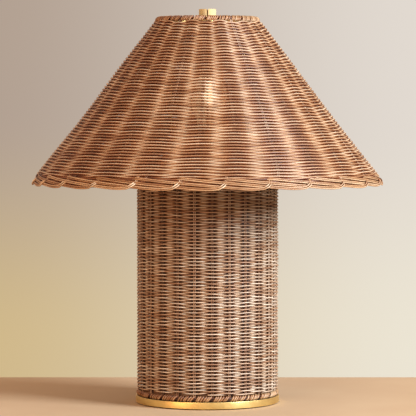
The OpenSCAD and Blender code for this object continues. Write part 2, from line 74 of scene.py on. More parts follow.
# The shade
SHADE_STRAND_R = 1.6  # radius of its cane
SHADE_SWING_OUT = 1.6  # how far the cane swings outward from the wall's middle
SHADE_SWING_IN = 0.5  # and inward
SHADE_PITCH = 2.73  # climb of one turn, up the slope
SHADE_DIP = 0.45  # how far a row rises at a stake and dips between two
SHADE_BULGE = 0.3  # slow unevenness outward
SHADE_STRAY = 0.5  # slow unevenness up the slope
SHADE_SAG = 2.0  # how far the wall sags in, below its middle
SAG_PLACE = 0.37  # where it sags most, as a share of the slope's length
SAG_SPREAD = 0.24  # how far the sag spreads, as a share of that length
SHADE_LEAD = 12.3  # angle of the first stake away from the rim, in degrees
RIM_LEAN = 3.6  # how many degrees further left the stakes start at the rim
RIM_LEAN_REACH = 76  # slope length over which they lean

# The bright spot where the bulb shines through the shade: thinner cane, with painted light on it
SPOT_ANGLE = 0.9  # degrees to the right of the front
SPOT_WIDTH = 2.4  # degrees to either side
SPOT_RISE = 12  # height above the middle of the bulb's glass
SPOT_REACH = 17  # height to either side
SPOT_THINNING = 0.1  # share by which the cane is thinner there
SPOT_PAINTED_LIGHT = 2.2  # tone added there: painted light, paler cane that glows

# The shade's rim. A rod's route is in stake steps to the left, distance down the rim, and outward.
ROD_R = 1.25  # radius of a rod
RIM_ROLL = 5.0  # from the border's edge to the middle of its roll
RIM_SHIFT = math.radians(3.2)  # how far left of its stake a rod starts
RIM_ROUTE = [(-0.04, -6, -1.4), (-0.02, 0, -1.2), (0.0, 5.0, 0.4), (0.03, 8.2, 3.2), (0.09, 11.4, 4.0),
             (0.2, 13.9, 2.8), (0.5, 14.2, 1.9), (1.0, 11.4, 1.7), (1.5, 8.3, 1.5), (2.0, 5.0, 1.2),
             (2.5, 1.6, 1.0), (2.9, -1.5, 0.4), (3.1, -3.0, -2.0)]
RIM_ROWS = 84  # points along a rod
HOOK_DROP = 10  # distance down the rim where a pair of rods hooks round
HOOK_SPAN = 3.0  # distance over which it does
HOOK_STEPS = 0.3  # and how far left, in stake steps
HOOK_SPREAD = 0.3  # share of its radius by which each rod moves aside there
HOOK_THINNING = 0.12  # share by which it is thinner there
HOOK_PAINTED_HIGHLIGHT = 0.7  # tone added there: a painted highlight where the rods hook round
ROD_APART = 0.96  # half the distance between a pair's rods elsewhere, as a share of their radius
DROP_UNEVEN = 0.35  # how much one pair hangs lower than another
PROUD_UNEVEN = 0.3  # how much one rod stands out more than another
BACKING_R = 1.6  # radius of the rings behind the rods, and their distance inward

# The whipped edges of the column and of the shade's crown
WHIPPING_R = 1.6  # radius of the column's short canes
LOOPS = 6  # loops in one fan, and one fan for each stake
FAN_SPREAD = 0.84  # width of a fan at its middle height, in stake steps
FAN_OPENING = 0.12  # how much wider it is at its top
FAN_LEAN = 0.2  # how far its top leans right, in stake steps
CROWN_ROLL = 7.5  # from the border's foot to the end of the weaving
CROWN_RISE = 3.8  # from the end of the weaving to the middle of the crown
CROWN_HALF = (3.8, 2.3)  # half the crown's height and half its thickness
CROWN_CORE_R = 1.1  # radius of the rings inside it

# Turned brass
RING_EASE = 0.7  # how far the base ring's corners are eased
FLANGE = 2  # thickness of the base ring's flange
SLOT_HALF = 1.0  # half the width of the finial's slot
SLOT_DEPTH = 1.2  # its depth
FINIAL_EASE = 0.5  # radius of the drum's eased edges

# Camera and lights, in metres and watts
CAMERA_PLACE = (0.0008, -3.717, 0.457)
CAMERA_TILT = math.radians(90 - 2.39)  # from straight down
LENS = 207.3  # millimetres
SENSOR = 36  # millimetres
BULB_WATTS = 4.0
BULB_GLOW = 1.2  # strength of the glass's own light


# ---------------------------------------------------------------- frame readings

def span(node):
    """Lowest and highest corner of one of the frame's parts."""
    low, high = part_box(node)
    return np.array(low) / MM, np.array(high) / MM


def corners(node):
    """Every corner point of one of the frame's parts, as rows of x, y, z."""
    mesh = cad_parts[node].data
    points = np.empty(len(mesh.vertices) * 3, np.float32)
    mesh.vertices.foreach_get("co", points)
    return points.reshape(-1, 3) / MM


# ---------------------------------------------------------------- shapes as arrays

def polar(radius, angle, height):
    """Points at a radius, an angle from the front to the right, and a height."""
    radius, angle, height = np.broadcast_arrays(radius, angle, height)
    return np.stack([radius * np.sin(angle), -radius * np.cos(angle), height], -1)


def wander(along, step, seed):
    """Smooth random curve from -1 to 1: a seeded value every step of length, joined by cosine eases."""
    place = (along - along.min()) / step
    cell = place.astype(int)
    knots = np.random.default_rng(seed).uniform(-1, 1, cell.max() + 2)
    ease = (1 - np.cos(np.pi * (place - cell))) / 2
    return knots[cell] * (1 - ease) + knots[cell + 1] * ease


def ripple(angle, along, waves, seed):
    """Slow unevenness of a wall: a sum of sines over whole waves round it and slow waves up it."""
    rng = np.random.default_rng(seed)
    total = np.zeros_like(along)
    for _ in range(waves):
        around, up = rng.integers(2, 14), rng.uniform(-0.05, 0.05)
        total += np.sin(around * angle + up * along + rng.uniform(0, TURN))
    return total / math.sqrt(waves)


def cane_tones(along, mean, seed):
    """Tone of each joined length of cane: a seeded value from 0 to 1 over lengths near the mean."""
    rng = np.random.default_rng(seed)
    cuts = along.min() + np.cumsum(rng.uniform(0.3, 1.7, int(np.ptp(along) / mean * 2) + 4) * mean)
    return rng.uniform(0, 1, len(cuts) + 1)[np.searchsorted(cuts, along)]


def through(knots, count):
    """Smooth line through chosen points: each span is a cubic whose end slopes join its neighbours."""
    k = np.array(knots, float)
    k = np.vstack([2 * k[0] - k[1], k, 2 * k[-1] - k[-2]])
    t = np.linspace(0, len(k) - 3 - 1e-9, count)
    i = t.astype(int)
    f = (t - i)[:, None]
    a, b, c, d = k[i], k[i + 1], k[i + 2], k[i + 3]
    cubic = (3 * b - a - 3 * c + d) * f ** 3
    return 0.5 * (2 * b + (c - a) * f + (2 * a - 5 * b + 4 * c - d) * f ** 2 + cubic)


def rounded(outline, radius, steps=6):
    """Closed outline whose corners are arcs: each corner point gives way to a curve that leaves one
    side and meets the next, the same distance from the corner."""
    points = np.array(outline, float)
    before, after = np.roll(points, 1, 0) - points, np.roll(points, -1, 0) - points
    reach = np.minimum(radius, 0.45 * np.minimum(np.linalg.norm(before, axis=1),
                                                 np.linalg.norm(after, axis=1)))[:, None]
    start = points + before / np.linalg.norm(before, axis=1)[:, None] * reach
    end = points + after / np.linalg.norm(after, axis=1)[:, None] * reach
    t = np.linspace(0, 1, steps)[None, :, None]
    curve = (1 - t) ** 2 * start[:, None] + 2 * t * (1 - t) * points[:, None] + t ** 2 * end[:, None]
    return curve.reshape(-1, 2)


def grid_faces(sheets, rows, columns, closed):
    """Four-sided faces of sheets of rows by columns points, joined round their columns and, if
    closed, round their rows too. Also each face's row and column."""
    last = rows if closed else rows - 1
    sheet, row, column = np.meshgrid(np.arange(sheets), np.arange(last), np.arange(columns), indexing="ij")
    base = sheet * rows * columns
    here, there = row * columns, (row + 1) % rows * columns
    right = (column + 1) % columns
    faces = np.stack([base + here + column, base + here + right,
                      base + there + right, base + there + column], -1)
    return faces.reshape(-1, 4), sheet.ravel(), row.ravel(), column.ravel()


def piece(name, points, faces, ends=None, uv=None, values=None):
    """Mesh object from arrays: points, four-sided faces, many-sided end faces, a place on the cane's
    skin for each face corner, and named values for each point."""
    mesh = bpy.data.meshes.new(name)
    corner_list, sizes = faces.ravel(), np.full(len(faces), 4)
    if ends is not None:
        corner_list = np.concatenate([corner_list, ends.ravel()])
        sizes = np.concatenate([sizes, np.full(len(ends), ends.shape[1])])
    mesh.vertices.add(len(points))
    mesh.vertices.foreach_set("co", (points * MM).astype(np.float32).ravel())
    mesh.loops.add(len(corner_list))
    mesh.loops.foreach_set("vertex_index", corner_list.astype(np.int32))
    mesh.polygons.add(len(sizes))
    mesh.polygons.foreach_set("loop_start", (np.cumsum(sizes) - sizes).astype(np.int32))
    mesh.polygons.foreach_set("use_smooth", sizes == 4)
    if uv is not None:
        flat = np.zeros((len(corner_list), 2), np.float32)
        flat[:len(uv)] = uv
        mesh.uv_layers.new(name="skin").data.foreach_set("uv", flat.ravel())
    for label, numbers in (values or {}).items():
        mesh.attributes.new(label, "FLOAT", "POINT").data.foreach_set("value", numbers.astype(np.float32))
    mesh.update(calc_edges=True)
    made = bpy.data.objects.new(name, mesh)
    bpy.context.scene.collection.objects.link(made)
    return made


def unit(vectors):
    """Vectors of length one."""
    return vectors / np.linalg.norm(vectors, axis=-1, keepdims=True)


def square_frame(lines, outward, closed):
    """Two directions at each point of each line: outward, square to the line, and across both."""
    if closed:
        along = unit(np.roll(lines, -1, 1) - np.roll(lines, 1, 1))
    else:
        along = unit(np.gradient(lines, axis=1))
    out = unit(outward - (outward * along).sum(-1, keepdims=True) * along)
    return out, np.cross(along, out)


def eased(values, low, high):
    """0 below low, 1 above high, and a smooth rise between them."""
    share = np.clip((values - low) / (high - low), 0, 1)
    return share * share * (3 - 2 * share)


def painted_shade(depths, turn):
    """How much painted shade, from 0 to 1, each point of a cane's skin gets: skin that faces out is
    painted dark where the cane runs inside, skin that faces in where it runs outside, and the cane's
    underside gets painted shade everywhere, as though lit from above."""
    facing = (1 + np.cos(turn)) / 2
    inside = eased(-depths, 0.3, 1.0)[..., None]
    outside = eased(depths, 0.3, 1.0)[..., None]
    # painted shade under the cane, as though lit from above
    under = 0.2 * np.sin(turn) ** 2 + 0.9 * np.clip(np.sin(turn), 0, 1)
    return np.clip(facing * inside + (1 - facing) * outside + under, 0, 1)


def canes(name, lines, radii, outward, tones, sides=8, closed=False, depths=PLAIN_DEPTH):
    """Round canes on their centre lines: at each point a ring of points stands square to the line at
    the cane's radius. lines is canes x points x 3, and radii, tones and depths are a value for each
    point, for each cane or for all; depths set the painted shade of the skin. The skin's first
    direction is length and its second goes round."""
    count, rows = lines.shape[:2]
    radii, tones, depths = (np.broadcast_to(given, (count, rows)) for given in (radii, tones, depths))
    out, across = square_frame(lines, outward, closed)
    turn = TURN * np.arange(sides) / sides
    rings = np.cos(turn)[:, None] * out[:, :, None] + np.sin(turn)[:, None] * across[:, :, None]
    points = lines[:, :, None] + radii[:, :, None, None] * rings
    faces, sheet, row, column = grid_faces(count, rows, sides, closed)
    last = lines[:, :1] if closed else lines[:, -1:]
    steps = np.linalg.norm(np.diff(lines, axis=1, append=last), axis=-1)
    length = np.concatenate([np.zeros((count, 1)), np.cumsum(steps, 1)], 1) * MM
    start = length[sheet, row] + sheet * SKIN_SHIFT
    end = length[sheet, row + 1] + sheet * SKIN_SHIFT
    low, high = column / sides, (column + 1) / sides
    uv = np.stack([start, low, start, high, end, high, end, low], -1).reshape(-1, 2)
    ends = None
    if not closed:
        first = np.arange(count)[:, None] * rows * sides + np.arange(sides)
        ends = np.concatenate([first[:, ::-1], first + (rows - 1) * sides])
    return piece(name, points.reshape(-1, 3), faces, ends, uv,
                 {"tone": np.repeat(tones.ravel(), sides), "painted_shade_share": painted_shade(depths, turn).ravel()})


def lathe(name, outline, segments=192):
    """Closed outline of radius and height turned round the lamp's axis."""
    outline = np.array(outline, float)
    angle = TURN * np.arange(segments) / segments
    points = polar(outline[:, None, 0], angle[None], outline[:, None, 1])
    faces = grid_faces(1, len(outline), segments, True)[0]
    return piece(name, points.reshape(-1, 3), faces[:, ::-1])


# ---------------------------------------------------------------- the cane walls

def column_wall():
    """The column's wall: middle radius, lowest height and height of its weaving."""
    low, high = span("column_weave")
    return high[0] - SWING - STRAND_R - 0.15, low[2], high[2] - low[2]


class ShadeWall:
    """The shade's wall: a cone read from its stakes' middle line, with a slight sag below its middle.
    Distances run up the slope from the weaving's lower edge."""

    def __init__(self):
        points = corners("shade_stakes")
        radius = np.hypot(points[:, 0], points[:, 1])
        self.slope, self.base = np.polyfit(points[:, 2], radius, 1)
        self.foot = span("shade_rim_border")[1][2] - RIM_ROLL
        self.head = span("shade_top_border")[0][2] + CROWN_ROLL
        self.lean = math.atan(-self.slope)
        self.length = (self.head - self.foot) / math.cos(self.lean)
        self.out = np.array([math.cos(self.lean), math.sin(self.lean)])

    def middle(self, along):
        """Radius and height of the wall's middle at a distance up the slope: the cone's line, less a
        bell curve of sag square to it."""
        height = self.foot + along * math.cos(self.lean)
        off = (along - SAG_PLACE * self.length) / (SAG_SPREAD * self.length)
        sag = SHADE_SAG * np.exp(-off ** 2)
        return self.base + self.slope * height - sag * self.out[0], height - sag * self.out[1]

    def lead(self, along):
        """Angle of the first stake at a distance up the slope: near the rim the stakes lean left."""
        return np.radians(SHADE_LEAD - RIM_LEAN * np.exp(-along / RIM_LEAN_REACH))


def spiral(turns_from, turns_to, per_step=8):
    """Turns wound so far at even steps, with a whole number of steps between stakes."""
    return np.arange(round(turns_from * STAKES * per_step), round(turns_to * STAKES * per_step) + 1) \
        / (STAKES * per_step)


def thickness(along, radius, seed):
    """Cane radius along its length: even, with slow and quick unevenness of a few hundredths."""
    return radius * (1 + 0.05 * wander(along, 130, seed) + 0.035 * wander(along, 21, seed + 1))


def swing(angle, lead, least_flat, seed):
    """A cane that passes outside one stake and inside the next: how far out it lies, and its depth, which
    sets the skin's painted shade, both from -1 to 1. Stiff cane runs nearly straight from stake to
    stake, as the arcsine of a cosine wave; packed cane lies flat across the stake, as the wave's
    hyperbolic tangent. The share of the second is a seeded value for each stake."""
    wave = np.cos(STAKES / 2 * (angle - lead))
    peaked = np.arcsin(PEAK * wave) / math.asin(PEAK)
    flat = np.tanh(FLATNESS * wave) / math.tanh(FLATNESS)
    share = np.random.default_rng(seed).uniform(least_flat, 1, STAKES)
    stake = np.round((angle - lead) / STEP).astype(int) % STAKES
    side = peaked + (flat - peaked) * share[stake]
    return side, (side + 2 * peaked) / 3


def column_weaving():
    """Plain weave: one cane winds up the column, swinging out and in. The stakes are odd in number, so
    each turn passes outside the stakes that the last one passed inside."""
    middle, foot, height = column_wall()
    turns = (height - 2 * STRAND_R) / COLUMN_PITCH
    for name, share in (("column_weave_lower", (0, 1 / 3)), ("column_weave_middle", (1 / 3, 2 / 3)),
                        ("column_weave_upper", (2 / 3, 1))):
        wound = spiral(turns * share[0], turns * share[1])
        angle = wound * TURN
        up = STRAND_R + wound * COLUMN_PITCH
        side, depth = swing(angle, COLUMN_LEAD, least_flat=0.3, seed=30254)
        radius = middle + SWING * side + COLUMN_BULGE * ripple(angle, up, waves=5, seed=11)
        line = polar(radius, angle, foot + up + COLUMN_STRAY * ripple(angle, up, waves=7, seed=12))
        length = angle * middle
        radii = thickness(length, STRAND_R, seed=13)
        tones = cane_tones(length, mean=60, seed=14)
        made = canes(name, line[None], radii, polar(1.0, angle, 0.0), tones, depths=depth)
        finish_piece(made, "root", "cane_weave", CANE, "column_weave")


def shade_weaving(wall):
    """The same plain weave wound up the cone. The swing is square to the sloping wall, and a cosine
    wave lifts each row at the stakes. In the bright spot, a bell curve of angle and height, the cane
    is thinner, and painted paler and glowing: painted light for the bulb shining through."""
    turns = (wall.length - 2 * SHADE_STRAND_R) / SHADE_PITCH
    low, high = span("bulb_glass")
    spot_height = (low[2] + high[2]) / 2 + SPOT_RISE
    for name, share in (("shade_weave_lower", (0, 0.5)), ("shade_weave_upper", (0.5, 1))):
        wound = spiral(turns * share[0], turns * share[1])
        angle = wound * TURN
        along = SHADE_STRAND_R + wound * SHADE_PITCH
        lead = wall.lead(along)
        dip = SHADE_DIP * np.cos(STAKES * (angle - lead))
        shift = SHADE_STRAY * ripple(angle, along, waves=7, seed=21) + dip
        radius, height = wall.middle(along + shift)
        side, depth = swing(angle, lead, least_flat=0.6, seed=26)
        proud = np.where(side > 0, SHADE_SWING_OUT, SHADE_SWING_IN) * side
        proud = proud + SHADE_BULGE * ripple(angle, along, waves=5, seed=22)
        line = polar(radius + proud * wall.out[0], angle, height + proud * wall.out[1])
        turned = np.degrees((angle + math.pi) % TURN - math.pi)
        beside, above = (turned - SPOT_ANGLE) / SPOT_WIDTH, (height - spot_height) / SPOT_REACH
        spot = np.exp(-beside ** 2 - above ** 2)
        length = np.cumsum(radius) * (angle[1] - angle[0])
        radii = thickness(length, SHADE_STRAND_R, seed=23) * (1 - SPOT_THINNING * spot)
        # the spot's added tone is painted light: paler, glowing cane
        tones = np.clip(0.9 * cane_tones(length, mean=70, seed=24) + SPOT_PAINTED_LIGHT * spot, 0, 2)
        outward = polar(wall.out[0], angle, wall.out[1])
        made = canes(name, line[None], radii, outward, tones, depths=depth)
        finish_piece(made, "shade", "cane_weave", SHADE_CANE, "shade_weave")


def stake_rods(name, node, body, lead, radius, height, out, wobble, seed):
    """Paired rods in a wall. Each stake's angle has a rod's half gap to either side of it, plus a slow
    sine wobble. lead, radius and height give the wall's middle line, and out its outward direction."""
    rng = np.random.default_rng(seed)
    rows = len(height)
    stake = np.arange(STAKES)[:, None, None] * STEP
    side = np.array([-1, 1])[None, :, None] * (PAIR_GAP + rng.uniform(0, 0.15, (STAKES, 1, 1)))
    sway = wobble * np.sin(np.linspace(0, 1, rows) * rng.uniform(4, 12, (STAKES, 1, 1))
                           + rng.uniform(0, TURN, (STAKES, 1, 1)))
    angle = (stake + lead + (side + sway) / radius).reshape(STAKES * 2, rows)
    tones = np.random.default_rng(seed + 1).uniform(0, 1, (STAKES, 1))
    made = canes(name, polar(radius, angle, height), STAKE_R, polar(out[0], angle, out[1]),
                 np.repeat(tones, 2, 0), 6, depths=ROD_DEPTH)
    finish_piece(made, body, "cane_stakes", ROD, node)


def column_stakes():
    """Paired rods standing in the column's wall, straight but for a slow sway."""
    low, high = span("column_stakes")
    height = np.linspace(low[2], high[2], 40)
    stake_rods("column_stake_rods", "column_stakes", "root", COLUMN_LEAD, column_wall()[0], height,
               (1.0, 0.0), wobble=0.35, seed=31)


def shade_stakes(wall):
    """Paired rods that run up the shade's sloping wall, leaning as the wall's lead says."""
    along = np.linspace(-2, wall.length + 3, 60)
    radius, height = wall.middle(along)
    stake_rods("shade_stake_rods", "shade_stakes", "shade", wall.lead(along), radius, height,
               wall.out, wobble=0.4, seed=33)


def rim_slope(wall):
    """Radius and height of the weaving's lower edge, and the directions down the rim and out of it."""
    top = np.array(wall.middle(0.0))
    low, high = span("shade_rim_border")
    bottom = np.array([high[0] - RIM_ROLL, low[2] + RIM_ROLL])
    down = unit(bottom - top)
    return top, down, np.array([-down[1], down[0]])


def rim_braid(wall):
    """The shade's scalloped rim: each stake's two rods leave the wall, slant down to the left across
    the front, run along the bottom, climb behind the next two stakes and are tucked in. Where they
    hook round, the pair spreads and thins, and is painted paler as a painted highlight."""
    top, down, out = rim_slope(wall)
    left, drop, proud = through(RIM_ROUTE, RIM_ROWS).T
    rng = np.random.default_rng(41)
    rods = STAKES * 2
    stake = np.repeat(np.arange(STAKES), 2)
    side = np.tile([-1.0, 1.0], STAKES)[:, None]
    drop = drop + DROP_UNEVEN * rng.uniform(-1, 1, (STAKES, 1))[stake]
    proud = proud + PROUD_UNEVEN * rng.uniform(-1, 1, (rods, 1))
    radius = top[0] + drop * down[0] + proud * out[0]
    height = top[1] + drop * down[1] + proud * out[1]
    angle = wall.lead(0.0) - RIM_SHIFT + (stake[:, None] - left) * STEP
    lines = polar(radius, angle, height)
    outward = polar(out[0], angle, out[1])
    across = square_frame(lines, outward, False)[1]
    hook = np.exp(-((drop - HOOK_DROP) / HOOK_SPAN) ** 2) * (left < HOOK_STEPS)
    lines = lines + across * (side * ROD_R * (ROD_APART + HOOK_SPREAD * hook))[..., None]
    # the hook's added tone is a painted highlight
    tones = np.clip(rng.uniform(0.0, 0.5, (rods, 1)) + HOOK_PAINTED_HIGHLIGHT * hook, 0, 1)
    made = canes("shade_rim_braid", lines, ROD_R * (1 - HOOK_THINNING * hook), outward, tones)
    finish_piece(made, "shade", "cane_weave", SHADE_CANE, "shade_rim_border")


def rim_backing(wall):
    """Plain rings behind the rim's rods, which close the gaps between them."""
    top, down, out = rim_slope(wall)
    drop = np.arange(-1.0, 12.0, 3.0)[:, None]
    angle = TURN * np.arange(240) / 240
    radius = top[0] + drop * down[0] - BACKING_R * out[0]
    height = top[1] + drop * down[1] - BACKING_R * out[1]
    # depth -0.6 gives the rings painted shade, as they sit behind the rods
    made = canes("shade_rim_core", polar(radius, angle, height), BACKING_R, polar(out[0], angle, out[1]),
                 0.2, closed=True, depths=-0.6)
    finish_piece(made, "shade", "cane_weave", SHADE_CANE, "shade_rim_border")


def whipped_border(name, node, body, lead, centre, half, tilt, strand_r, seed):
    """Border of short canes looped round the edge, in one fan for each stake: loops are ellipses turned
    by tilt in a plane through the lamp's axis, and from left to right of a fan they lean from left to
    right. Each loop's place and size are uneven by a few hundredths."""
    rng = np.random.default_rng(seed)
    stake = np.repeat(np.arange(STAKES), LOOPS)[:, None]
    fan = np.tile((np.arange(LOOPS) + 0.5) / LOOPS - 0.5, STAKES)[:, None]
    round_it = TURN * np.arange(20) / 20
    across, up = half[0] * np.cos(round_it), half[1] * np.sin(round_it)
    radius = centre[0] + across * math.cos(tilt) - up * math.sin(tilt)
    height = centre[1] + across * math.sin(tilt) + up * math.cos(tilt)
    rise = (height - centre[1]) / np.ptp(height)
    angle = lead + (stake + 0.5 + fan * (FAN_SPREAD + FAN_OPENING * rise) + FAN_LEAN * rise) * STEP
    angle = angle + rng.uniform(-0.03, 0.03, stake.shape) * STEP
    swell = 1 + 0.06 * rng.uniform(-1, 1, stake.shape)
    lines = polar(centre[0] + (radius - centre[0]) * swell, angle, centre[1] + (height - centre[1]) * swell)
    outward = lines - polar(centre[0], angle, centre[1])
    tones = rng.uniform(0, 0.5, stake.shape)
    made = canes(name, lines, strand_r, outward, tones, 6, closed=True)
    finish_piece(made, body, "cane_weave", SHADE_CANE, node)


def border_core(name, node, body, centre, strand_r, material, seed):
    """Three canes lying round inside a border in a close triangle, each a plain ring."""
    angle = TURN * np.arange(150) / 150
    offsets = strand_r * np.array([[-1.1, 0.7], [1.1, 0.7], [0.0, -1.1]])
    lines = np.stack([polar(centre[0] + a, angle, centre[1] + b) for a, b in offsets])
    tones = np.random.default_rng(seed).uniform(0, 0.5, (3, 1))
    made = canes(name, lines, strand_r, polar(1.0, angle, 0.0), tones, 6, closed=True, depths=RING_DEPTH)
    finish_piece(made, body, "cane_weave", material, node)


def column_edges():
    """Whipped borders round the column's foot and top."""
    middle = column_wall()[0]
    for node in ("column_foot_border", "column_top_border"):
        low, high = span(node)
        centre = np.array([middle, (low[2] + high[2]) / 2])
        half = np.array([high[0] - middle - WHIPPING_R, (high[2] - low[2]) / 2 - WHIPPING_R])
        name = node.replace("_border", "")
        whipped_border(name + "_whipping", node, "root", COLUMN_LEAD, centre, half, 0.0, WHIPPING_R,
                       seed=51)
        border_core(name + "_core", node, "root", centre, STRAND_R, CANE, seed=52)


def crown(wall):
    """Whipped border round the shade's top, tilted as the wall is."""
    centre = np.array(wall.middle(wall.length + CROWN_RISE))
    whipped_border("shade_crown_whipping", "shade_top_border", "shade", wall.lead(wall.length), centre,
                   CROWN_HALF, math.pi / 2 + wall.lean, STRAND_R, seed=53)
    border_core("shade_crown_core", "shade_top_border", "shade", centre, CROWN_CORE_R, SHADE_CANE, seed=54)


# ---------------------------------------------------------------- turned brass

def base_ring():
    """Turned ring with a flange at its foot, every edge eased."""
    low, high = span("base_ring")
    points = corners("base_ring")
    radius = np.hypot(points[:, 0], points[:, 1])
    wall_in = radius[points[:, 2] > high[2] - 0.1].min()
    flange_in = radius.min()
    flange_top = low[2] + FLANGE
    outline = [(flange_in, low[2]), (high[0], low[2]), (high[0], high[2]), (wall_in, high[2]),
               (wall_in, flange_top), (flange_in, flange_top)]
    made = lathe("base_ring_turned", rounded(outline, RING_EASE), 256)
    finish_piece(made, "root", "polished_brass", BRASS, "base_ring")


def half_drum(radius, low, high, side, steps=56, bevel_steps=7):
    """One half of a slotted drum: the outline is an arc closed by the slot's flat side, and it is
    drawn in by a quarter circle at the top and bottom edges. side is 1 or -1."""
    quarter = np.linspace(0, math.pi / 2, bevel_steps)
    rise, fall = FINIAL_EASE * (1 - np.cos(quarter)), FINIAL_EASE * (1 - np.sin(quarter))
    inset = np.concatenate([fall, rise])
    height = np.concatenate([low + rise, high - fall])
    reach = np.arccos((SLOT_HALF + inset) / (radius - inset))
    turn = np.linspace(-1, 1, steps)[None] * reach[:, None]
    x = side * (radius - inset)[:, None] * np.cos(turn)
    y = side * (radius - inset)[:, None] * np.sin(turn)
    z = np.repeat(height[:, None], steps, 1)
    return np.stack([x, y, z], -1)


def finial():
    """Drum in two halves either side of a narrow slot, over a plain round core that is the slot's
    floor. The core is dark brass: painted shadow in the slot."""
    low, high = span("finial_knob")
    radius = high[0]
    halves = np.stack([half_drum(radius, low[2], high[2], side) for side in (1, -1)])
    rows, steps = halves.shape[1:3]
    turn = TURN * np.arange(steps) / steps
    core_z = np.linspace(low[2] + 0.2, high[2] - SLOT_DEPTH, rows)[:, None]
    core = polar(radius - SLOT_DEPTH, turn + math.pi / 2, core_z)[None]
    for name, sheets, material in (("finial_drum", halves, FINIAL_BRASS),
                                   ("finial_core", core, SLOT_SHADOW_BRASS)):
        count = len(sheets)
        faces = grid_faces(count, rows, steps, False)[0]
        first = np.arange(count)[:, None] * rows * steps + np.arange(steps)
        ends = np.concatenate([first[:, ::-1], first + (rows - 1) * steps])
        made = piece(name, sheets.reshape(-1, 3), faces, ends)
        sharpen(made, 40)
        finish_piece(made, "finial", "polished_brass", material, "finial_knob")


def sharpen(made, degrees):
    """Edges that turn by more than this angle stay crisp."""
    bpy.context.view_layer.objects.active = made
    made.select_set(True)
    bpy.ops.object.shade_smooth_by_angle(angle=math.radians(degrees))
    made.select_set(False)


# ---------------------------------------------------------------- finishes

def colour(red, green, blue):
    """Linear colour from the usual 0 to 255 values."""
    channels = np.array([red, green, blue]) / 255
    linear = np.where(channels <= 0.04045, channels / 12.92, ((channels + 0.055) / 1.055) ** 2.4)
    return (*linear.tolist(), 1.0)


class Finish:
    """A material under way: its nodes, and short calls that add the next one."""

    def __init__(self, name, **shader):
        self.material = bpy.data.materials.new(name)
        self.material.use_nodes = True
        self.tree = self.material.node_tree
        self.shader = self.tree.nodes["Principled BSDF"]
        self.set(self.shader, shader)

    def set(self, node, inputs):
        """Gives a node's inputs their values or links. Underscores stand for spaces."""
        for name, value in inputs.items():
            name = name.replace("_", " ")
            if isinstance(value, bpy.types.NodeSocket):
                self.tree.links.new(value, node.inputs[name])
            else:
                node.inputs[name].default_value = value

    def add(self, kind, output=0, settings=None, **inputs):
        """Adds a node and returns one of its outputs."""
        node = self.tree.nodes.new("ShaderNode" + kind)
        for name, value in (settings or {}).items():
            setattr(node, name, value)
        self.set(node, inputs)
        return node.outputs[output]

    def place(self, scale, source="Object"):
        """Object or skin coordinates stretched by a scale for each direction."""
        coordinates = self.add("TexCoord", source)
        return self.add("Mapping", Vector=coordinates, Scale=scale)

    def noise(self, vector, scale, detail=3.0, rough=0.55):
        """Soft random pattern, from 0 to 1."""
        return self.add("TexNoise", "Fac", Vector=vector, Scale=scale, Detail=detail, Roughness=rough)

    def ramp(self, factor, stops):
        """Colour for each value of a pattern: stops are place and colour."""
        node = self.tree.nodes.new("ShaderNodeValToRGB")
        elements = node.color_ramp.elements
        while len(elements) < len(stops):
            elements.new(0.5)
        for element, (position, shade) in zip(elements, stops):
            element.position, element.color = position, shade
        self.tree.links.new(factor, node.inputs[0])
        return node.outputs[0]

    def plus(self, first, second):
        """Two values added."""
        total = self.add("Math", 0, {"operation": "ADD"})
        self.tree.links.new(first, total.node.inputs[0])
        self.tree.links.new(second, total.node.inputs[1])
        return total

    def levels(self, factor, low, high, start=0.0, end=1.0):
        """A pattern's values between start and end spread from low to high."""
        return self.add("MapRange", Value=factor, From_Min=start, From_Max=end, To_Min=low, To_Max=high)

    def mix(self, kind, factor, first, second):
        """Two colours blended."""
        node = self.tree.nodes.new("ShaderNodeMix")
        node.data_type, node.blend_type = "RGBA", kind
        for socket, value in ((node.inputs[0], factor), (node.inputs[6], first), (node.inputs[7], second)):
            if isinstance(value, bpy.types.NodeSocket):
                self.tree.links.new(value, socket)
            else:
                socket.default_value = value
        return node.outputs[2]

    def bump(self, height, depth, strength=1.0):
        """Surface relief from a pattern, depth in millimetres."""
        normal = self.add("Bump", Height=height, Distance=depth * MM, Strength=strength)
        self.set(self.shader, {"Normal": normal})


